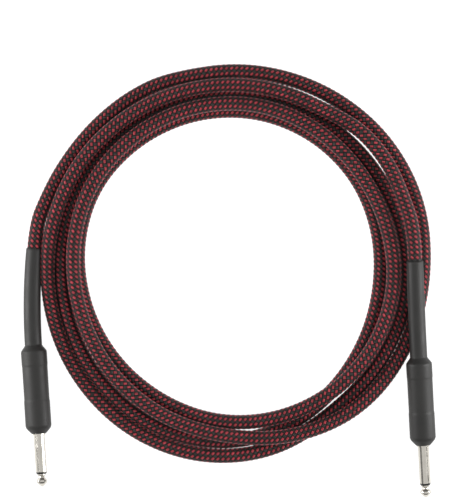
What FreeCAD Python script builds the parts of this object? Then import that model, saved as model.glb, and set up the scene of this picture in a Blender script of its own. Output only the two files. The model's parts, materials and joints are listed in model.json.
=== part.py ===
import FreeCAD, Part
import math
import os

os.makedirs("parts", exist_ok=True)

# Instrument cable, lying coiled on a surface, in millimetres. +Z is up and z = 0 is the surface.
# X and Y start midway between the two plug assemblies.
# A plug is modelled along its own X axis, with x = 0 at the barrel's front face, +x towards the tip
# and -x towards the cable, and is then put in its place.

V = FreeCAD.Vector

# Cable
CABLE_D = 8.0
CABLE_R = CABLE_D / 2
BRAID_WALL = 0.4
JACKET_WALL = 1.0
SHIELD_WALL = 0.2
INNER_JACKET_WALL = 0.8
CONDUCTOR_R = 0.38

# Plug, radii from the plug's axis
SLEEVE_R = 6.35 / 2
SLEEVE_END = 21.9
INSULATOR_RING = 1.2
TIP_END = 30.3
BALL_R = 3.13
ROD_R = 1.2
ROD_SLEEVE_R = 2.0
SHOULDER_RING_R = 3.65
SHOULDER_RING_END = 0.8
COLLAR_BACK = -3.8
COLLAR_R = 6.5
STUB_R = 4.9
STUB_BACK = -11.0
SEAT_R = 4.2
WASHER_R = 4.0
SEAT_BACK = -12.5
PLATE = 0.8
WASHER = 1.2
TIP_PLATE = 0.6
RIVET = 0.8
RIVET_R = 1.9

# Barrel and its cover
BARREL_R = 6.5
BARREL_BORE_R = 5.5
BARREL_BACK = -49.4
CAVITY_BACK = -42.4
SHOULDER_FRONT = -46.8
THREAD_PLAY = 0.05
CABLE_HOLE_R = 4.1
LINER_WALL = 0.35
COVER_FRONT_R = 7.4
COVER_WAIST_R = 7.2
COVER_BAND_R = 7.4
RELIEF_R = 4.95
RELIEF_FRONT = -50.2
RELIEF_LENGTH = 55.3

# Cable ends inside the barrel: where each layer is cut
BRAID_CUT = -37.5
JACKET_CUT = -30.0
SHIELD_CUT = -28.5
INNER_JACKET_CUT = -26.5
DIELECTRIC_CUT = -22.5
CONDUCTOR_CUT = -17.0

# The two plugs: where the barrel's front face is, the way the tip points, how far the tip dips,
# and how far the strain relief bends sideways from the plug's axis
COIL_MIDDLE = V(4.35, 59.75, 0)
PLUGS = {
    "a": {"front": COIL_MIDDLE + V(-112.3, -94.3, 0), "heading": -86.4, "dip": 0.0, "bend": 8.4},
    "b": {"front": COIL_MIDDLE + V(106.75, -100.9, 0), "heading": -86.7, "dip": 5.1, "bend": 1.6},
}

# The coil's outer shape: a low ring one cable high, a taller ring inside it, and the turn at each end
LOW_RING_MIDDLE = COIL_MIDDLE + V(1.2, -1.0, 0)
LOW_RING_R = 109.7
LOW_RING_HEIGHT = 7.5
EYE_MIDDLE = COIL_MIDDLE + V(-4.2, 1.0, 0)
EYE_R = 83.0
TALL_RING_R = 96.0
TALL_RING_HEIGHT = 15.8
RING_ROUND = 3.7
FLOOR_GAP = 0.05


def on_coil(angle, radius, height):
    """A point at a compass angle, in degrees from +X, and a distance from the coil's middle."""
    turn = math.radians(angle)
    return COIL_MIDDLE + V(radius * math.cos(turn), radius * math.sin(turn), height)


def revolved(outline):
    """A solid turned about the plug's axis from (x, radius) points."""
    corners = [V(x, 0, radius) for x, radius in outline]
    face = Part.Face(Part.makePolygon(corners + corners[:1]))
    return face.revolve(V(0, 0, 0), V(1, 0, 0), 360)


def tube_between(back, front, outer, inner):
    """A straight tube round the plug's axis."""
    return revolved([(back, inner), (front, inner), (front, outer), (back, outer)])


def rod_between(back, front, radius):
    """A straight rod on the plug's axis."""
    return Part.makeCylinder(radius, front - back, V(back, 0, 0), V(1, 0, 0))


def one_solid(shape):
    """The shape's only solid, cleaned of seams between faces that continue each other."""
    clean = shape.removeSplitter()
    solids = clean.Solids
    if len(solids) != 1:
        raise RuntimeError("expected one solid, found %d" % len(solids))
    return solids[0]


# Pieces of a plug


def tip_contact():
    neck = SLEEVE_END + INSULATOR_RING
    rod_back = SEAT_BACK - PLATE - WASHER - TIP_PLATE
    return one_solid(
        revolved(
            [
                (rod_back - RIVET, 0),
                (rod_back - RIVET, RIVET_R - 0.4),
                (rod_back - RIVET + 0.3, RIVET_R),
                (rod_back, RIVET_R),
                (rod_back, ROD_R),
                (neck, ROD_R),
                (neck, 2.35),
                (neck + 0.6, 2.35),
                (neck + 1.5, 1.75),
                (neck + 2.0, 1.85),
                (neck + 3.4, BALL_R - 0.15),
                (neck + 3.9, BALL_R),
                (neck + 4.4, BALL_R - 0.05),
                (neck + 5.3, 2.55),
                (neck + 6.2, 1.6),
                (TIP_END - 0.2, 0.6),
                (TIP_END, 0.25),
                (TIP_END, 0),
            ]
        )
    )


def tip_insulator():
    ring_front = SLEEVE_END + INSULATOR_RING
    tube_back = SEAT_BACK - PLATE
    return revolved(
        [
            (tube_back, ROD_R),
            (ring_front, ROD_R),
            (ring_front, 2.6),
            (ring_front - 0.3, 2.85),
            (SLEEVE_END, SLEEVE_R - 0.03),
            (SLEEVE_END, ROD_SLEEVE_R),
            (tube_back, ROD_SLEEVE_R),
        ]
    )


def sleeve_contact():
    return revolved(
        [
            (SEAT_BACK, ROD_SLEEVE_R),
            (SLEEVE_END, ROD_SLEEVE_R),
            (SLEEVE_END, SLEEVE_R),
            (SHOULDER_RING_END, SLEEVE_R),
            (SHOULDER_RING_END, SHOULDER_RING_R),
            (-0.6, SHOULDER_RING_R),
            (-0.6, 4.2),
            (-2.2, 5.9),
            (COLLAR_BACK, COLLAR_R),
            (COLLAR_BACK, STUB_R),
            (STUB_BACK, STUB_R),
            (STUB_BACK, SEAT_R),
            (SEAT_BACK, SEAT_R),
        ]
    )


def ground_lug():
    strap_low, strap_high, half_width = -4.75, -4.05, 1.6
    clamp_back, clamp_front, clamp_outer = -36.5, -31.5, 4.3
    jacket_r = CABLE_R - BRAID_WALL
    plate_back = SEAT_BACK - PLATE
    plate = tube_between(plate_back, SEAT_BACK, SEAT_R, ROD_SLEEVE_R)
    heel = Part.makeBox(PLATE, 2 * half_width, 1.7, V(plate_back, -half_width, strap_low))
    strap = Part.makeBox(
        SEAT_BACK - clamp_back, 2 * half_width, strap_high - strap_low, V(clamp_back, -half_width, strap_low)
    )
    clamp = tube_between(clamp_back, clamp_front, clamp_outer, jacket_r)
    mouth = Part.makeBox(
        clamp_front - clamp_back + 2, 2 * half_width, 2 * clamp_outer, V(clamp_back - 1, -half_width, 1.0)
    )
    return one_solid(plate.fuse([heel, strap, clamp.cut(mouth)]))


def rear_insulator():
    back = SEAT_BACK - PLATE - WASHER
    return tube_between(back, back + WASHER, WASHER_R, ROD_R)


def tip_lug():
    ring_back = SEAT_BACK - PLATE - WASHER - TIP_PLATE
    leg_back, tab_back, leg = ring_back - RIVET - 0.4, -21.0, 0.5
    half_width, foot_low, tab_high = 1.3, -2.6, -CONDUCTOR_R
    ring = tube_between(ring_back, ring_back + TIP_PLATE, 2.6, ROD_R)
    foot = Part.makeBox(
        ring_back + TIP_PLATE - leg_back, 2 * half_width, leg, V(leg_back, -half_width, foot_low)
    )
    riser = Part.makeBox(leg, 2 * half_width, tab_high - foot_low, V(leg_back - leg, -half_width, foot_low))
    tab = Part.makeBox(
        leg_back - tab_back, 2 * half_width, leg, V(tab_back, -half_width, tab_high - leg)
    )
    return one_solid(ring.fuse([foot, riser, tab]))


def solder_dome(middle, length, radius, height):
    """A low dome standing on the plane z = 0 of its own frame, longer than wide."""
    ball = Part.makeSphere(radius, V(0, 0, 0), V(0, 0, 1), 0, 90, 360)
    stretch = FreeCAD.Matrix()
    stretch.scale(length / (2 * radius), 1.0, height / radius)
    dome = ball.transformGeometry(stretch)
    dome.translate(middle)
    return dome


def tip_solder():
    dome = solder_dome(V(-19.2, 0, -CONDUCTOR_R), 3.4, 1.0, 1.3)
    return one_solid(dome.cut(conductor_end()))


def ground_solder():
    dome = solder_dome(V(-24.2, 0, -4.05), 3.2, 1.25, 1.35)
    return one_solid(dome.cut(pigtail()))


def barrel_shell():
    up_the_shoulder = (BARREL_BACK - RELIEF_FRONT) / (SHOULDER_FRONT - RELIEF_FRONT)
    back_r = CABLE_R + up_the_shoulder * (BARREL_R - CABLE_R)
    return revolved(
        [
            (BARREL_BACK, CABLE_HOLE_R),
            (CAVITY_BACK - 2.0, CABLE_HOLE_R),
            (CAVITY_BACK, BARREL_BORE_R),
            (STUB_BACK, BARREL_BORE_R),
            (STUB_BACK, STUB_R + THREAD_PLAY),
            (COLLAR_BACK, STUB_R + THREAD_PLAY),
            (COLLAR_BACK, BARREL_R),
            (SHOULDER_FRONT, BARREL_R),
            (BARREL_BACK, back_r),
        ]
    )


def barrel_liner():
    return tube_between(CAVITY_BACK + 0.3, STUB_BACK - 0.3, BARREL_BORE_R - 0.05, BARREL_BORE_R - 0.05 - LINER_WALL)


def along_relief(section, bend):
    """Carries a section at the strain relief's front back along the cable, bent sideways by an angle."""
    if bend == 0:
        return section.extrude(V(-RELIEF_LENGTH, 0, 0))
    radius = RELIEF_LENGTH / math.radians(bend)
    return section.revolve(V(RELIEF_FRONT, radius, 0), V(0, 0, -1), bend)


def relief_section(outer, inner):
    """A ring, or a disc if inner is 0, at the strain relief's front and square to the axis."""

    def disc(radius):
        return Part.Face(Part.Wire([Part.makeCircle(radius, V(RELIEF_FRONT, 0, 0), V(1, 0, 0))]))

    return disc(outer).cut(disc(inner)).Faces[0] if inner else disc(outer)


def heat_shrink(bend):
    over_barrel = revolved(
        [
            (RELIEF_FRONT, CABLE_R),
            (SHOULDER_FRONT, BARREL_R),
            (COLLAR_BACK, COLLAR_R),
            (-2.2, 5.9),
            (-0.6, 4.2),
            (-0.6, SHOULDER_RING_R),
            (0, SHOULDER_RING_R),
            (0, 3.9),
            (-0.5, 4.6),
            (-3.0, 6.85),
            (-4.4, COVER_FRONT_R),
            (-18.6, COVER_FRONT_R),
            (-19.1, COVER_WAIST_R),
            (-38.6, COVER_WAIST_R),
            (-39.1, COVER_BAND_R),
            (-46.3, COVER_BAND_R),
            (-47.3, COVER_BAND_R - 0.15),
            (RELIEF_FRONT, RELIEF_R),
        ]
    )
    over_cable = along_relief(relief_section(RELIEF_R, CABLE_R), bend)
    return one_solid(over_barrel.fuse(over_cable))


def cable_end(bend):
    return one_solid(along_relief(relief_section(CABLE_R, 0), bend))


def braid_end():
    return tube_between(RELIEF_FRONT, BRAID_CUT, CABLE_R, CABLE_R - BRAID_WALL)


def jacket_end():
    outer = CABLE_R - BRAID_WALL
    return tube_between(RELIEF_FRONT, JACKET_CUT, outer, outer - JACKET_WALL)


def pigtail():
    """The shield's strands twisted together, from under the shield's edge forward to the ground lug."""
    radius = 0.55
    leave, lie, end = V(JACKET_CUT + 0.2, 0, -3.02), V(-27.0, 0, -3.42), V(-23.4, 0, -3.42)
    slope = Part.makeCylinder(radius, (lie - leave).Length, leave, lie - leave)
    knee = Part.makeSphere(radius, lie)
    flat = Part.makeCylinder(radius, (end - lie).Length, lie, end - lie)
    return slope.fuse([knee, flat])


def shield_end():
    outer = CABLE_R - BRAID_WALL - JACKET_WALL
    return one_solid(tube_between(RELIEF_FRONT, SHIELD_CUT, outer, outer - SHIELD_WALL).fuse(pigtail()))


def inner_jacket_end():
    outer = CABLE_R - BRAID_WALL - JACKET_WALL - SHIELD_WALL
    return tube_between(RELIEF_FRONT, INNER_JACKET_CUT, outer, outer - INNER_JACKET_WALL)


def dielectric_end():
    outer = CABLE_R - BRAID_WALL - JACKET_WALL - SHIELD_WALL - INNER_JACKET_WALL
    return tube_between(RELIEF_FRONT, DIELECTRIC_CUT, outer, CONDUCTOR_R)


def conductor_end():
    return rod_between(RELIEF_FRONT, CONDUCTOR_CUT, CONDUCTOR_R)


def plug_pieces(bend):
    return {
        "tip_contact": tip_contact(),
        "tip_insulator": tip_insulator(),
        "sleeve_contact": sleeve_contact(),
        "ground_lug": ground_lug(),
        "rear_insulator": rear_insulator(),
        "tip_lug": tip_lug(),
        "tip_solder": tip_solder(),
        "ground_solder": ground_solder(),
        "barrel_liner": barrel_liner(),
        "barrel_shell": barrel_shell(),
        "heat_shrink": heat_shrink(bend),
        "cable_end": cable_end(bend),
        "braid_end": braid_end(),
        "jacket_end": jacket_end(),
        "shield_end": shield_end(),
        "inner_jacket_end": inner_jacket_end(),
        "dielectric_end": dielectric_end(),
        "conductor_end": conductor_end(),
    }


def plug_place(plug):
    """The plug's placement: its widest rim rests on the surface, whatever the dip."""
    dip = math.radians(plug["dip"])
    rim_x = -4.4
    height = COVER_FRONT_R * math.cos(dip) + rim_x * math.sin(dip)
    return FreeCAD.Placement(
        plug["front"] + V(0, 0, height), FreeCAD.Rotation(plug["heading"], plug["dip"], 0)
    )


def mouth(plug):
    """Where the cable enters the strain relief, and the way it leads away from the plug."""
    bend = math.radians(plug["bend"])
    if bend:
        radius = RELIEF_LENGTH / bend
        point = V(RELIEF_FRONT - radius * math.sin(bend), radius * (1 - math.cos(bend)), 0)
    else:
        point = V(RELIEF_FRONT - RELIEF_LENGTH, 0, 0)
    place = plug_place(plug)
    way = place.Rotation.multVec(V(-math.cos(bend), math.sin(bend), 0))
    return place.multVec(point), way


# The cable between the plugs


def cord_path(points, name):
    """Straight runs joined by tangent arcs, as large as the runs allow. Prints the arcs' radii."""
    edges, here, radii = [], points[0], []
    for before, corner, after in zip(points, points[1:], points[2:]):
        come, go = corner - before, after - corner
        half_turn = come.getAngle(go) / 2
        cut = 0.45 * min(come.Length, go.Length)
        radii.append(cut / math.tan(half_turn))
        come.normalize()
        go.normalize()
        start, end = corner - come * cut, corner + go * cut
        inward = go - come
        inward.normalize()
        sagitta = radii[-1] * (1 / math.cos(half_turn) - 1)
        edges.append(Part.LineSegment(here, start).toShape())
        edges.append(Part.Arc(start, corner + inward * sagitta, end).toShape())
        here = end
    edges.append(Part.LineSegment(here, points[-1]).toShape())
    print(name, "bend radii", [round(radius) for radius in radii])
    return Part.Wire(edges)


def cord_tube(points, name):
    """A round tube along the path. Prints its volume against section times length."""
    path = cord_path(points, name)
    section = Part.Wire([Part.makeCircle(CABLE_R, points[0], points[1] - points[0])])
    tube = one_solid(path.makePipeShell([section], True, False))
    expected = math.pi * CABLE_R**2 * path.Length
    print(name, "length %.1f, volume / expected %.4f" % (path.Length, tube.Volume / expected))
    return tube


def rounded_ring(middle, outer, hole_middle, hole, height):
    """A ring with rounded rims, its hole not quite in the middle."""
    disc = Part.makeCylinder(outer, height, middle)
    ring = disc.cut(Part.makeCylinder(hole, height, hole_middle))
    rims = [edge for edge in ring.Edges if isinstance(edge.Curve, Part.Circle)]
    return ring.makeFillet(RING_ROUND, rims)


def arc_tube(points):
    """A round tube along the arc through three points, with its end face where a tail meets it."""
    curve = Part.Arc(*points).toShape()
    section = Part.Wire([Part.makeCircle(CABLE_R, points[0], curve.tangentAt(curve.FirstParameter))])
    return Part.Wire([curve]).makePipeShell([section], True, False)


FIRST_TURN_Z = CABLE_R + FLOOR_GAP
LAST_TURN_Z = LOW_RING_HEIGHT + CABLE_R + 0.4
FIRST_TURN = [on_coil(125, 112.5, FIRST_TURN_Z), on_coil(72, 112.6, FIRST_TURN_Z), on_coil(10, 108.4, FIRST_TURN_Z)]
LAST_TURN = [on_coil(55, 104.0, LAST_TURN_Z), on_coil(76, 99.5, LAST_TURN_Z), on_coil(100, 92.0, LAST_TURN_Z)]


def cable_coil():
    low = rounded_ring(LOW_RING_MIDDLE, LOW_RING_R, EYE_MIDDLE, EYE_R, LOW_RING_HEIGHT)
    tall = rounded_ring(EYE_MIDDLE, TALL_RING_R, EYE_MIDDLE, EYE_R, TALL_RING_HEIGHT)
    return one_solid(low.fuse([tall, arc_tube(FIRST_TURN), arc_tube(LAST_TURN)]))


def onto_turn(turn, length):
    """The route's last two points: straight onto the face where a turn of the coil starts."""
    curve = Part.Arc(*turn).toShape()
    way = curve.tangentAt(curve.FirstParameter)
    return [turn[0] - way * length, turn[0]]


def tail_a_route():
    start, way = mouth(PLUGS["a"])
    inner = [
        start + way * 14,
        COIL_MIDDLE + V(-108.5, 38.2, 6.0),
        COIL_MIDDLE + V(-100.5, 54.4, 4.8),
        COIL_MIDDLE + V(-89.0, 71.0, FIRST_TURN_Z),
    ]
    return [start] + inner + onto_turn(FIRST_TURN, 14)


def tail_b_route():
    start, way = mouth(PLUGS["b"])
    inner = [
        start + way * 18,
        COIL_MIDDLE + V(96.4, 41.4, 16.2),
        COIL_MIDDLE + V(88.4, 60.0, 13.9),
    ]
    return [start] + inner + onto_turn(LAST_TURN, 19)


def main():
    shapes = {}
    for letter, plug in PLUGS.items():
        place = plug_place(plug)
        for name, shape in plug_pieces(plug["bend"]).items():
            shape.Placement = place.multiply(shape.Placement)
            shapes[name + "_" + letter] = shape
    shapes["cable_coil"] = cable_coil()
    shapes["cable_tail_a"] = cord_tube(tail_a_route(), "cable_tail_a")
    shapes["cable_tail_b"] = cord_tube(tail_b_route(), "cable_tail_b")
    for name, shape in shapes.items():
        if len(shape.Solids) != 1 or not shape.isValid():
            raise RuntimeError(name + " is not one valid solid")
        shape.exportStep("parts/" + name + ".step")
    print(len(shapes), "nodes written")


main()
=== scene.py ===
"""The looks of a coiled instrument cable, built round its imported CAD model. Lengths are in metres."""

import json
import math

import bpy
import numpy as np
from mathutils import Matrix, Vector


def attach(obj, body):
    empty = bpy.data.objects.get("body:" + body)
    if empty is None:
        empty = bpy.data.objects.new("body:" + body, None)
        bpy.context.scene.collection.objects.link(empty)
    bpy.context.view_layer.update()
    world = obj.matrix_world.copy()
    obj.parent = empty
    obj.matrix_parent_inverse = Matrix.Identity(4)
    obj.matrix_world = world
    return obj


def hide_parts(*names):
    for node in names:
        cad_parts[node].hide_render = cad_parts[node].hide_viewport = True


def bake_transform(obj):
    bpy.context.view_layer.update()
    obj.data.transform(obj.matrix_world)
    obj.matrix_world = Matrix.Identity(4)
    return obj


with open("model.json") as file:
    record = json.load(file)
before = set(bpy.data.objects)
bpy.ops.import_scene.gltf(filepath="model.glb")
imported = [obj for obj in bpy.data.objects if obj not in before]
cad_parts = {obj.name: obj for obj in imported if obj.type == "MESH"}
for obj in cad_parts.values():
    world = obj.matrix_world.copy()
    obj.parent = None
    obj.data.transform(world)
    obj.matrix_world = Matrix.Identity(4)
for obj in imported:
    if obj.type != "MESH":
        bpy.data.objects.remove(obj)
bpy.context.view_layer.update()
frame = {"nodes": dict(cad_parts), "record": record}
nodes = frame["nodes"]

MM = 0.001

# The cable
COIL_MIDDLE = Vector((4.35, 59.75, 0)) * MM

# The plug, along its own axis: 0 at the barrel's front face, positive towards the tip
SLEEVE_MIDDLE = 11.35 * MM
RELIEF_FRONT = -50.2 * MM
RELIEF_LENGTH = 55.3 * MM
RELIEF_R = 4.95 * MM
RELIEF_MOUTH_R = 4.7 * MM
RELIEF_BEND = {"a": math.radians(8.4), "b": math.radians(1.6)}

# The camera's view: its middle, how much of the scene it takes in, and how high it stands
VIEW_MIDDLE = COIL_MIDDLE + Vector((-4.0, 10.3, 0)) * MM
VIEW_HEIGHT = 286.2 * MM
CAMERA_HEIGHT = 1.8


# ---------------------------------------------------------------- camera, light and floor


def add_camera():
    data = bpy.data.cameras.new("camera")
    data.sensor_fit = "VERTICAL"
    data.lens = data.sensor_height * CAMERA_HEIGHT / VIEW_HEIGHT
    data.clip_start = 0.01
    camera = bpy.data.objects.new("camera", data)
    camera.location = VIEW_MIDDLE + Vector((0, 0, CAMERA_HEIGHT))
    bpy.context.scene.collection.objects.link(camera)
    bpy.context.scene.camera = camera


def add_area_light(name, place, target, width, height, power):
    data = bpy.data.lights.new(name, "AREA")
    data.shape = "RECTANGLE"
    data.size = width
    data.size_y = height
    data.energy = power
    light = bpy.data.objects.new(name, data)
    light.location = place
    light.rotation_euler = (Vector(target) - Vector(place)).to_track_quat("-Z", "Y").to_euler()
    bpy.context.scene.collection.objects.link(light)


# The way to the tent's top, which leans a little to the right
TENT_AXIS = (0.12, 0, 0.99)
# The tent's brightness against how far a direction points along that axis: 0 is square to it, 1 is along it
TENT_LEVELS = [
    (0.0, 0.3),
    (0.2, 0.25),
    (0.3, 0.15),
    (0.5, 0.15),
    (0.58, 0.3),
    (0.68, 0.8),
    (0.92, 0.8),
    (1.0, 0.72),
]

# The soft boxes at the two sides, and their power in watts
SIDE_BOX_OUT = 0.8
SIDE_BOX_Y = 0.05
SIDE_BOX_Z = 0.14
SIDE_BOX_WIDTH = 0.22
SIDE_BOX_HEIGHT = 0.9
SIDE_BOX_POWER = 8.0

FLOOR_HALF = 3.0
FLOOR_DROP = 0.2 * MM


def add_studio():
    """A white tent, brightest overhead and dark low down, with a soft box at the left and at the right."""
    scene = bpy.context.scene
    scene.view_settings.view_transform = "Standard"
    middle = (0, COIL_MIDDLE.y, 0)
    for name, out in (("left_box", -SIDE_BOX_OUT), ("right_box", SIDE_BOX_OUT)):
        place = (out, SIDE_BOX_Y, SIDE_BOX_Z)
        add_area_light(name, place, middle, SIDE_BOX_WIDTH, SIDE_BOX_HEIGHT, SIDE_BOX_POWER)
    world = bpy.data.worlds.new("tent")
    world.use_nodes = True
    direction = add(world, "TexCoord").outputs["Generated"]
    lean = add(world, "VectorMath", {0: direction, 1: TENT_AXIS}, operation="DOT_PRODUCT")
    height = lean.outputs["Value"]
    background = world.node_tree.nodes["Background"]
    background.inputs["Color"].default_value = (1, 1, 1, 1)
    world.node_tree.links.new(ramp(world, height, TENT_LEVELS), background.inputs["Strength"])
    scene.world = world


def add_floor(material):
    half = FLOOR_HALF
    corners = [(-half, -half, 0), (half, -half, 0), (half, half, 0), (-half, half, 0)]
    mesh = bpy.data.meshes.new("floor")
    mesh.from_pydata(corners, [], [(0, 1, 2, 3)])
    mesh.materials.append(material)
    floor = bpy.data.objects.new("floor", mesh)
    floor.location.z = -FLOOR_DROP
    bpy.context.scene.collection.objects.link(floor)


# ---------------------------------------------------------------- material helpers


def new_material(name, **sockets):
    """A material, and its shader with the given socket values."""
    material = bpy.data.materials.new(name)
    material.use_nodes = True
    shader = material.node_tree.nodes["Principled BSDF"]
    for socket, value in sockets.items():
        shader.inputs[socket.replace("_", " ")].default_value = value
    return material, shader


def add(material, kind, inputs=None, **settings):
    """A node in the material. Its inputs are given as values or as other nodes' outputs."""
    tree = material.node_tree
    node = tree.nodes.new("ShaderNode" + kind)
    for name, value in settings.items():
        setattr(node, name, value)
    for name, value in (inputs or {}).items():
        if isinstance(value, bpy.types.NodeSocket):
            tree.links.new(value, node.inputs[name])
        else:
            node.inputs[name].default_value = value
    return node


def feed(material, shader, **outputs):
    for socket, output in outputs.items():
        material.node_tree.links.new(output, shader.inputs[socket.replace("_", " ")])


def maths(material, operation, first, second=0.0):
    return add(material, "Math", {0: first, 1: second}, operation=operation).outputs[0]


def scaled(material, value, factor, shift, clamped=False):
    """The value times a factor, plus a shift."""
    inputs = {0: value, 1: factor, 2: shift}
    return add(material, "Math", inputs, operation="MULTIPLY_ADD", use_clamp=clamped).outputs[0]


def noise(material, where, scale, detail, roughness=0.5):
    """Noise at a scale in features per metre, or per unit of the given coordinates."""
    inputs = {"Vector": where, "Scale": scale, "Detail": detail, "Roughness": roughness}
    return add(material, "TexNoise", inputs).outputs["Fac"]


def ramp(material, fac, stops):
    """Colours, or grey levels, at positions from 0 to 1."""
    node = add(material, "ValToRGB", {"Fac": fac})
    elements = node.color_ramp.elements
    while len(elements) < len(stops):
        elements.new(0.5)
    for element, (position, colour) in zip(elements, stops):
        element.position = position
        element.color = (*colour, 1) if isinstance(colour, tuple) else (colour, colour, colour, 1)
    return node.outputs["Color"]


def bump(material, height, distance, strength):
    inputs = {"Height": height, "Distance": distance, "Strength": strength}
    return add(material, "Bump", inputs).outputs["Normal"]


def object_place(material):
    return add(material, "TexCoord").outputs["Object"]


# ---------------------------------------------------------------- materials


def floor_material():
    material, shader = new_material("white_floor", Roughness=1.0, Base_Color=(0.25, 0.25, 0.25, 1))
    shader.inputs["Specular IOR Level"].default_value = 0.0
    shader.inputs["Emission Color"].default_value = (1, 1, 1, 1)
    shader.inputs["Emission Strength"].default_value = 0.95
    return material


def yarn_material(name, colours, sheen):
    """Yarn of parallel ends, a colour each, with painted shade in the grooves between the ends and at each
    float's two ends. The uv map yarn runs across it from 0 to 1, and along it.
    """
    material, shader = new_material(name, Roughness=0.62, Sheen_Weight=sheen, Sheen_Roughness=0.35)
    shader.inputs["Specular IOR Level"].default_value = 0.25
    place = add(material, "UVMap", uv_map="yarn").outputs["UV"]
    parts = add(material, "SeparateXYZ", {"Vector": place}).outputs
    across, along = parts["X"], parts["Y"]
    ends = maths(material, "MULTIPLY", across, float(len(colours)))
    ridge = maths(material, "SINE", maths(material, "MULTIPLY", maths(material, "FRACT", ends), math.pi))
    piece_inputs = {"X": maths(material, "FLOOR", ends), "Y": maths(material, "FLOOR", along)}
    piece = add(material, "CombineXYZ", piece_inputs).outputs["Vector"]
    chance = add(material, "TexWhiteNoise", {"Vector": piece}, noise_dimensions="2D").outputs["Value"]
    fuzz = noise(material, object_place(material), 5200, 2.0)
    arch = maths(material, "SINE", maths(material, "MULTIPLY", maths(material, "FRACT", along), math.pi))
    random_tone = scaled(material, chance, 0.7, 0.6)
    # A random tone per end and float, times painted shade: each end is drawn darker at its edges, in the
    # grooves between the ends.
    tone_and_painted_shade = maths(material, "MULTIPLY", random_tone, scaled(material, ridge, 0.45, 0.62))
    tone_and_painted_shade = maths(material, "MULTIPLY", tone_and_painted_shade, scaled(material, fuzz, 0.8, 0.6))
    # Painted shade: each float fades to black towards both its ends, where it dips under the crossing yarns.
    tone_and_painted_shade = maths(material, "MULTIPLY", tone_and_painted_shade, scaled(material, arch, 3.0, -1.5, clamped=True))
    colour = add(material, "ValToRGB", {"Fac": across})
    colour.color_ramp.interpolation = "CONSTANT"
    elements = colour.color_ramp.elements
    while len(elements) < len(colours):
        elements.new(0.5)
    for i, element in enumerate(elements):
        element.position = i / len(colours)
        element.color = (*colours[i], 1)
    tint = add(material, "VectorMath", {0: colour.outputs["Color"], "Scale": tone_and_painted_shade}, operation="SCALE")
    height = maths(material, "ADD", ridge, maths(material, "MULTIPLY", fuzz, 0.5))
    feed(material, shader, Base_Color=tint.outputs["Vector"], Normal=bump(material, height, 0.06 * MM, 0.6))
    return material


def cable_core_material():
    """The dark ground seen between the braid's yarns."""
    material, shader = new_material("cable_core", Roughness=0.8)
    grain = noise(material, object_place(material), 3000, 4.0)
    feed(
        material,
        shader,
        Base_Color=ramp(material, grain, [(0.3, (0.004, 0.004, 0.004)), (0.7, (0.02, 0.018, 0.017))]),
        Normal=bump(material, grain, 0.05 * MM, 0.5),
    )
    return material


def heat_shrink_material():
    """Matte charcoal sleeving with a fine orange-peel surface."""
    material, shader = new_material("heat_shrink", Specular_IOR_Level=0.4)
    place = object_place(material)
    peel = noise(material, place, 2600, 3.0)
    patches = noise(material, place, 90, 4.0)
    feed(
        material,
        shader,
        Base_Color=ramp(material, patches, [(0.3, (0.019, 0.0185, 0.0175)), (0.7, (0.026, 0.025, 0.0235))]),
        Roughness=ramp(material, patches, [(0.3, 0.48), (0.7, 0.58)]),
        Normal=bump(material, peel, 0.03 * MM, 0.35),
    )
    return material


def nickel_material():
    """Bright nickel plate, slightly warm, with fine turning marks and a little handling haze."""
    material, shader = new_material("nickel_plate", Metallic=1.0)
    place = object_place(material)
    haze = noise(material, place, 260, 4.0, 0.6)
    stretched = add(material, "Mapping", {"Vector": place, "Scale": (1, 14, 1)}).outputs["Vector"]
    marks = noise(material, stretched, 900, 2.0)
    feed(
        material,
        shader,
        Base_Color=ramp(material, haze, [(0.3, (0.62, 0.59, 0.53)), (0.7, (0.68, 0.65, 0.59))]),
        Roughness=ramp(material, haze, [(0.35, 0.15), (0.65, 0.2)]),
        Normal=bump(material, marks, 0.001 * MM, 0.05),
    )
    return material


def grained_material(name, dark, light, roughness, scale, metallic=0.0):
    """A moulded, tinned or drawn surface: two shades, a grain and a rough or smooth finish."""
    material, shader = new_material(name, Metallic=metallic)
    grain = noise(material, object_place(material), scale, 4.0)
    low, high = roughness
    feed(
        material,
        shader,
        Base_Color=ramp(material, grain, [(0.3, dark), (0.7, light)]),
        Roughness=ramp(material, grain, [(0.3, low), (0.7, high)]),
        Normal=bump(material, grain, 0.02 * MM, 0.3),
    )
    return material


# ---------------------------------------------------------------- meshes from arrays


def mesh_object(name, vertices, quads, material, uv=None):
    """A smooth mesh from a table of points and a table of quads, with an optional uv per point."""
    mesh = bpy.data.meshes.new(name)
    mesh.vertices.add(len(vertices))
    mesh.vertices.foreach_set("co", np.asarray(vertices, np.float32).ravel())
    mesh.loops.add(quads.size)
    mesh.loops.foreach_set("vertex_index", quads.astype(np.int32).ravel())
    mesh.polygons.add(len(quads))
    mesh.polygons.foreach_set("loop_start", np.arange(0, quads.size, 4, dtype=np.int32))
    mesh.update(calc_edges=True)
    if uv is not None:
        layer = mesh.uv_layers.new(name="yarn")
        layer.data.foreach_set("uv", np.asarray(uv, np.float32)[quads.ravel()].ravel())
    mesh.shade_smooth()
    mesh.materials.append(material)
    made = bpy.data.objects.new(name, mesh)
    bpy.context.scene.collection.objects.link(made)
    return made


def grid_quads(rows, columns, wrapped=False):
    """The quads of a grid of points, row by row. A wrapped grid joins its last column to its first."""
    down = np.arange(rows - 1)[:, None] * columns
    right = np.arange(columns if wrapped else columns - 1)[None, :]
    beside = (right + 1) % columns
    corners = [down + right, down + beside, down + columns + beside, down + columns + right]
    return np.stack(corners, -1).reshape(-1, 4)


# ---------------------------------------------------------------- the cable's route


def plug_axes(letter):
    """A plug's origin and axes, from its sleeve's place in the record."""
    mount = next(m for m in frame["record"]["mounts"] if m["name"] == "plug_%s_sleeve" % letter)
    forward = Vector(mount["axis"]).normalized()
    side = Vector((0, 0, 1)).cross(forward).normalized()
    origin = Vector(mount["pos_m"]) - forward * SLEEVE_MIDDLE
    return origin, forward, side, forward.cross(side)


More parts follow.
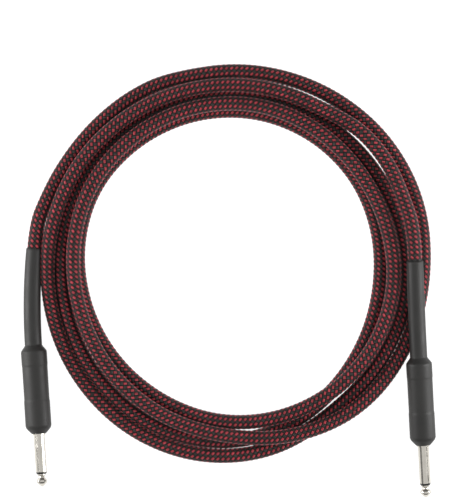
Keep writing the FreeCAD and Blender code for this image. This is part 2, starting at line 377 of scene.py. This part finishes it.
def relief_point(letter, back):
    """A point on the strain relief's bent axis, at a distance from its front, and the way on to the cable."""
    origin, forward, side, _ = plug_axes(letter)
    bend = RELIEF_BEND[letter]
    front = origin + forward * RELIEF_FRONT
    radius = RELIEF_LENGTH / bend
    turned = back / radius
    point = front - forward * (radius * math.sin(turned)) + side * (radius * (1 - math.cos(turned)))
    return point, -forward * math.cos(turned) + side * math.sin(turned)


def from_coil(x, y, z):
    return COIL_MIDDLE + Vector((x, y, z)) * MM


# The strand's radius and height in mm, at these compass angles, on each turn of the coil.
# It is wound clockwise seen from above: round the right, the bottom and the left, back to the top.
COMPASS = (90, 28, 0, -20, -45, -55, -66, -78, -90, -100, -120, -135, -150, -165, -180, -195, -210)
# FLAT is the height of a strand that lies on the floor.
FLAT = 4.25
TURNS = (
    (
        (112.4, 111.2, 106.4, 106.2, 106.0, 104.1, 102.0, 98.1, 94.9)
        + (94.6, 93.0, 92.4, 91.8, 91.4, 92.3, 94.0, 95.0),
        (FLAT,) * 4 + (9.0, 11.6, 12.7, 12.6, 12.4, 12.3, 12.2) + (12.2,) * 6,
    ),
    (
        (94.0, 87.6, 89.8, 90.0, 89.5, 88.5, 88.4, 88.0, 87.9)
        + (87.3, 86.4, 86.4, 87.4, 88.4, 90.2, 91.8, 92.9),
        (12.2,) * 4 + (12.3, 12.3, 12.2, 11.4, 10.2, 8.0, 4.6) + (FLAT,) * 6,
    ),
    (
        (90.0, 85.0, 81.6, 83.3, 85.9, 89.7, 94.0, 96.2, 99.7)
        + (100.3, 101.4, 101.1, 100.4, 100.0, 99.6, 100.2, 101.0),
        (FLAT,) * 17,
    ),
    (
        (98.1, 96.0, 98.3, 98.1, 97.5, 97.7, 102.2, 105.1, 107.9)
        + (108.6, 109.5, 109.2, 108.5, 108.1, 106.5, 107.5, 107.2),
        (FLAT,) * 13 + (5.5, 8.5, 10.2, 11.2),
    ),
    (
        (104.3, 100.7),
        (10.8, 12.6),
    ),
)
COIL_START = 110.0
COIL_END = 55.0 - 360 * 4
POINTS_PER_TURN = 16


def coil_points():
    """The coil's control points. A point stands outside the strand, which cuts inside its corners."""
    stations, radii, heights = [], [], []
    for turn, (turn_radii, turn_heights) in enumerate(TURNS):
        stations += [360 * turn - angle for angle in COMPASS[: len(turn_radii)]]
        radii += turn_radii
        heights += turn_heights
    steps = round((COIL_START - COIL_END) / 360 * POINTS_PER_TURN)
    step = (COIL_START - COIL_END) / steps
    outside = 8 / (6 + 2 * math.cos(math.radians(step)))
    points = []
    for i in range(steps + 1):
        angle = COIL_START - i * step
        radius = np.interp(-angle, stations, radii) * outside
        height = np.interp(-angle, stations, heights)
        turn = math.radians(angle)
        points.append(from_coil(radius * math.cos(turn), radius * math.sin(turn), height))
    return points


def route_points():
    """The cable from plug A's strain relief, round the coil, to plug B's."""
    mouth_a, way_a = relief_point("a", RELIEF_LENGTH)
    mouth_b, way_b = relief_point("b", RELIEF_LENGTH)
    tail_a = [
        mouth_a,
        mouth_a + way_a * 14 * MM,
        from_coil(-108.5, 38.2, 6.0),
        from_coil(-100.5, 54.4, 4.8),
        from_coil(-89.0, 71.0, 4.05),
        from_coil(-76.5, 84.5, 4.05),
        from_coil(-60.0, 97.5, 4.05),
    ]
    tail_b = [
        from_coil(73.6, 76.2, 12.6),
        from_coil(87.0, 59.2, 13.9),
        from_coil(94.6, 40.8, 16.2),
        mouth_b + way_b * 18 * MM,
        mouth_b,
    ]
    return tail_a + coil_points() + tail_b


def smooth_line(points):
    """The smooth NURBS line that has these control points, as a table of close points."""
    curve = bpy.data.curves.new("cable_route", "CURVE")
    curve.dimensions = "3D"
    spline = curve.splines.new("NURBS")
    spline.points.add(len(points) - 1)
    for spline_point, point in zip(spline.points, points):
        spline_point.co = (*point, 1)
    spline.order_u = 3
    spline.use_endpoint_u = True
    spline.resolution_u = 16
    route = bpy.data.objects.new("cable_route", curve)
    mesh = bpy.data.meshes.new_from_object(route)
    line = np.array([vertex.co for vertex in mesh.vertices])
    bpy.data.objects.remove(route)
    bpy.data.meshes.remove(mesh)
    return line


class Strand:
    """The cable's centreline, with two side directions that don't twist about it."""

    def __init__(self, line):
        steps = np.linalg.norm(np.diff(line, axis=0), axis=1)
        self.line = line
        self.distance = np.concatenate([[0], np.cumsum(steps)])
        self.length = self.distance[-1]
        tangents = np.gradient(line, axis=0)
        tangents /= np.linalg.norm(tangents, axis=1)[:, None]
        side = np.cross(tangents[0], [0, 0, 1.0])
        sides = []
        for tangent in tangents:
            side = side - tangent * (side @ tangent)
            side = side / np.linalg.norm(side)
            sides.append(side)
        self.sides = np.array(sides)
        self.ups = np.cross(tangents, self.sides)

    def at(self, along, table):
        return np.stack([np.interp(along, self.distance, table[:, k]) for k in range(3)], -1)

    def surface(self, along, around, radius):
        """Points at distances along the cable, angles around it and radii from its centreline."""
        out = np.cos(around)[..., None] * self.at(along, self.sides)
        out += np.sin(around)[..., None] * self.at(along, self.ups)
        return self.at(along, self.line) + out * np.asarray(radius)[..., None]


# ---------------------------------------------------------------- the braid

# The braid has eight yarns each way. Each passes over one crossing and under the next, and only the
# floats, the lengths that pass over, are drawn. One yarn's floats are a pitch apart along the cable.
YARNS = 8
BRAID_PITCH = 2.88 * MM
BRAID_R = 4.04 * MM
YARN_GAP = 2 * math.pi * BRAID_R / YARNS
BRAID_ANGLE = math.atan2(YARN_GAP, BRAID_PITCH)
YARN_WIDTH = 1.9 * MM

# A float reaches this far each way from its middle. It stands off the core by the foot at its ends and
# by the lift more at its middle, and its long edges drop by the edge.
FLOAT_REACH = 1.72 * MM
FLOAT_FOOT = 0.1 * MM
FLOAT_LIFT = 0.3 * MM
FLOAT_EDGE = 0.14 * MM
CORE_R = 3.8 * MM
CORE_TUBE_R = CORE_R + 0.05 * MM

# Each hand's floats are shared between this many meshes, one after another along the cable.
BRAID_PARTS = 5


def float_shape():
    """One float's grid, along and across the yarn, and how high each point stands off the core."""
    along = np.linspace(-1, 1, 7)
    across = np.linspace(-1, 1, 5)
    a, b = np.meshgrid(along, across, indexing="ij")
    height = FLOAT_LIFT * np.cos(a * math.pi / 2) ** 1.2 - FLOAT_EDGE * b**2 + FLOAT_FOOT
    return a, b, height


def braid_floats(name, strand, hand, start, end, material):
    """Every float of one hand's yarns between two distances along the cable."""
    a, b, height = float_shape()
    over = 0 if hand > 0 else 1
    first = math.ceil((start - over * BRAID_PITCH / 2) / BRAID_PITCH - 1e-6)
    last = math.ceil((end - over * BRAID_PITCH / 2) / BRAID_PITCH - 1e-6)
    rows, yarns = np.meshgrid(np.arange(first, last), np.arange(YARNS), indexing="ij")
    rows, yarns = rows.ravel(), yarns.ravel()
    middle_along = (rows + over / 2) * BRAID_PITCH
    middle_round = (yarns + over / 2) * YARN_GAP
    along_yarn, across_yarn = a * FLOAT_REACH, b * YARN_WIDTH / 2
    step_along = along_yarn * math.cos(BRAID_ANGLE) - across_yarn * hand * math.sin(BRAID_ANGLE)
    step_round = along_yarn * hand * math.sin(BRAID_ANGLE) + across_yarn * math.cos(BRAID_ANGLE)
    along = middle_along[:, None, None] + step_along
    around = (middle_round[:, None, None] + step_round) / BRAID_R
    radius = np.broadcast_to(CORE_R + height, along.shape)
    along = np.clip(along, 0, strand.length)
    vertices = strand.surface(along, around, radius).reshape(-1, 3)
    count, per = len(rows), a.size
    quads = grid_quads(*a.shape)[None] + (np.arange(count) * per)[:, None, None]
    uv = np.empty((count, *a.shape, 2))
    uv[..., 0] = (b + 1) / 2
    uv[..., 1] = (a + 1) / 2 * 0.98 + (rows * YARNS + yarns)[:, None, None]
    made = mesh_object(name, vertices, quads.reshape(-1, 4), material, uv.reshape(-1, 2))
    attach(made, "root")
    return made


def cable_core(strand, material):
    """The plain tube under the braid."""
    rings, sides = round(strand.length / (1.5 * MM)), 20
    along = np.linspace(0, strand.length, rings)
    turn = np.arange(sides) * 2 * math.pi / sides
    s, t = np.meshgrid(along, turn, indexing="ij")
    vertices = strand.surface(s, t, np.full(s.shape, CORE_TUBE_R)).reshape(-1, 3)
    core = mesh_object("cable", vertices, grid_quads(rings, sides, wrapped=True), material)
    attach(core, "root")
    return core


def build_cable():
    strand = Strand(smooth_line(route_points()))
    black, grey = (0.006, 0.005, 0.005), (0.06, 0.056, 0.052)
    reds = [(0.54, 0.07, 0.085), (0.36, 0.025, 0.038), (0.45, 0.045, 0.06)]
    red_yarn = yarn_material("red_yarn", [black] + reds + [black], 0.5)
    black_yarn = yarn_material("black_yarn", [black, grey, black, grey, black], 0.0)
    core = cable_core(strand, cable_core_material())
    cuts = np.linspace(0, strand.length, BRAID_PARTS + 1)
    for part in range(BRAID_PARTS):
        start, end = cuts[part], cuts[part + 1]
        for name, hand, material in (("red", -1, red_yarn), ("black", 1, black_yarn)):
            full_name = "braid_%s_%d" % (name, part + 1)
            braid_floats(full_name, strand, hand, start, end, material)
    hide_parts("cable_coil", "cable_tail_a", "cable_tail_b")


# ---------------------------------------------------------------- plug covers


# The cover's outside, as stations along the plug and radii in mm, from its front lip to the strain relief
COVER_OUTSIDE = (
    (0.0, 3.9),
    (-0.5, 4.6),
    (-3.0, 6.85),
    (-4.4, 7.4),
    (-18.6, 7.38),
    (-19.1, 7.2),
    (-38.6, 7.25),
    (-39.1, 7.4),
    (-46.3, 7.4),
    (-47.3, 7.25),
    (-50.2, 4.95),
)
# Its inside, from the strain relief back to the front lip
COVER_INSIDE = ((-50.2, 4.3), (-46.6, 6.7), (-3.9, 6.7), (-2.2, 6.1), (-0.7, 4.4), (-0.5, 3.75))
COVER_SIDES = 64
COVER_FRONT_BORE_R = 3.75 * MM
COVER_STEP = 0.25 * MM
COVER_ROUNDING = 0.35 * MM
RELIEF_BORE_R = 4.12 * MM
HIDDEN_CABLE_R = 3.9 * MM


def rounded(table, step, spread):
    """An outline through (station, radius) points, in metres, with its corners rounded off."""
    stations = [station * MM for station, _ in table]
    radii = [radius * MM for _, radius in table]
    fine = np.arange(stations[0], stations[-1], -step)
    radius = np.interp(-fine, [-station for station in stations], radii)
    reach = round(3 * spread / step)
    weights = np.exp(-0.5 * (np.arange(-reach, reach + 1) * step / spread) ** 2)
    padded = np.pad(radius, reach, mode="edge")
    return fine, np.convolve(padded, weights / weights.sum(), mode="valid")


def heat_shrink_cover(letter, material):
    """Shrunk sleeving over the barrel and on over the cable, open at both ends."""
    mouth = RELIEF_FRONT - RELIEF_LENGTH
    fine, radius = rounded(COVER_OUTSIDE, COVER_STEP, COVER_ROUNDING)
    back = np.linspace(RELIEF_FRONT, mouth + 0.3 * MM, 56)
    taper = ((RELIEF_FRONT - back) / RELIEF_LENGTH) ** 2
    relief_r = RELIEF_R + (RELIEF_MOUTH_R - RELIEF_R) * taper
    lip = [(mouth, RELIEF_MOUTH_R - 0.2 * MM), (mouth, 4.1 * MM)]
    inside = [(mouth + (RELIEF_FRONT - mouth) * k / 12, RELIEF_BORE_R) for k in range(1, 12)]
    inside += [(station * MM, r * MM) for station, r in COVER_INSIDE]
    outside = list(zip(fine, radius)) + list(zip(back, relief_r))
    profile = [(0.0, COVER_FRONT_BORE_R)] + outside + lip + inside
    rows = []
    for station, r in profile:
        point, out, up = cover_section(letter, station)
        for k in range(COVER_SIDES):
            turn = 2 * math.pi * k / COVER_SIDES
            rows.append(point + out * (r * math.cos(turn)) + up * (r * math.sin(turn)))
    quads = grid_quads(len(profile), COVER_SIDES, True)
    last = (len(profile) - 1) * COVER_SIDES
    around = np.arange(COVER_SIDES)
    beside = (around + 1) % COVER_SIDES
    closing = np.stack([last + around, last + beside, beside, around], -1)
    quads = np.concatenate([quads, closing])
    cover = mesh_object("strain_relief_cover_" + letter, np.array(rows), quads, material)
    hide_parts("heat_shrink_" + letter)
    blend_along_relief(cover)


def cover_section(letter, station):
    """A section's middle and its two side directions, at a station along the plug or its relief."""
    origin, forward, side, up = plug_axes(letter)
    if station >= RELIEF_FRONT:
        return origin + forward * station, side, up
    point, way = relief_point(letter, RELIEF_FRONT - station)
    return point, up.cross(-way).normalized(), up


def blend_along_relief(piece):
    """Bakes a piece's placement into its mesh. The piece is already shaped along the strain relief."""
    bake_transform(piece)


def hidden_cable_end(letter, material):
    """The cable inside the strain relief."""
    rings, sides = 30, 20
    rows = []
    for back in np.linspace(0, RELIEF_LENGTH, rings):
        point, out, up = cover_section(letter, RELIEF_FRONT - back - 1e-9)
        for k in range(sides):
            turn = 2 * math.pi * k / sides
            rows.append(point + (out * math.cos(turn) + up * math.sin(turn)) * HIDDEN_CABLE_R)
    end = mesh_object("cable_in_relief_" + letter, np.array(rows), grid_quads(rings, sides, True), material)
    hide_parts("cable_end_" + letter)
    blend_along_relief(end)


# ---------------------------------------------------------------- the CAD nodes that stay


SHARP_ANGLE = math.radians(35)


def dress(name, material):
    """Gives a CAD node its material and smooth shading, with edges past the sharp angle kept sharp."""
    mesh = nodes[name].data
    mesh.materials.clear()
    mesh.materials.append(material)
    mesh.shade_smooth()
    mesh.set_sharp_from_angle(angle=SHARP_ANGLE)


def dress_plugs():
    nickel = nickel_material()
    black, charcoal = (0.008, 0.008, 0.008), (0.02, 0.019, 0.018)
    insulator = grained_material("black_insulator", black, charcoal, (0.35, 0.5), 2500)
    tinned = grained_material("tinned_brass", (0.55, 0.53, 0.48), (0.7, 0.68, 0.62), (0.25, 0.45), 1800, 1.0)
    solder = grained_material("solder", (0.45, 0.45, 0.45), (0.62, 0.62, 0.61), (0.2, 0.4), 2200, 1.0)
    liner = grained_material("clear_liner", (0.6, 0.6, 0.57), (0.7, 0.7, 0.67), (0.25, 0.35), 900)
    jacket = grained_material("black_jacket", (0.01, 0.01, 0.01), (0.022, 0.021, 0.02), (0.55, 0.7), 2600)
    dull_copper, bright_copper = (0.55, 0.25, 0.13), (0.75, 0.4, 0.25)
    copper = grained_material("copper_strands", dull_copper, bright_copper, (0.25, 0.4), 4000, 1.0)
    ivory, white = (0.78, 0.77, 0.72), (0.86, 0.85, 0.82)
    dielectric = grained_material("white_dielectric", ivory, white, (0.35, 0.45), 900)
    braid = grained_material("braid_cut", (0.012, 0.011, 0.011), (0.2, 0.03, 0.04), (0.7, 0.85), 1200)
    finishes = {
        "tip_contact": nickel,
        "sleeve_contact": nickel,
        "barrel_shell": nickel,
        "tip_insulator": insulator,
        "rear_insulator": insulator,
        "ground_lug": tinned,
        "tip_lug": tinned,
        "tip_solder": solder,
        "ground_solder": solder,
        "barrel_liner": liner,
        "jacket_end": jacket,
        "inner_jacket_end": jacket,
        "shield_end": copper,
        "conductor_end": copper,
        "dielectric_end": dielectric,
        "braid_end": braid,
    }
    for letter in "ab":
        for name, material in finishes.items():
            dress(name + "_" + letter, material)


def main():
    add_camera()
    build_cable()
    add_studio()
    add_floor(floor_material())
    dress_plugs()
    sleeving = heat_shrink_material()
    black, red = (0.01, 0.009, 0.009), (0.15, 0.03, 0.035)
    hidden = grained_material("cable_in_relief", black, red, (0.7, 0.85), 1200)
    for letter in "ab":
        heat_shrink_cover(letter, sleeving)
        hidden_cable_end(letter, hidden)


main()
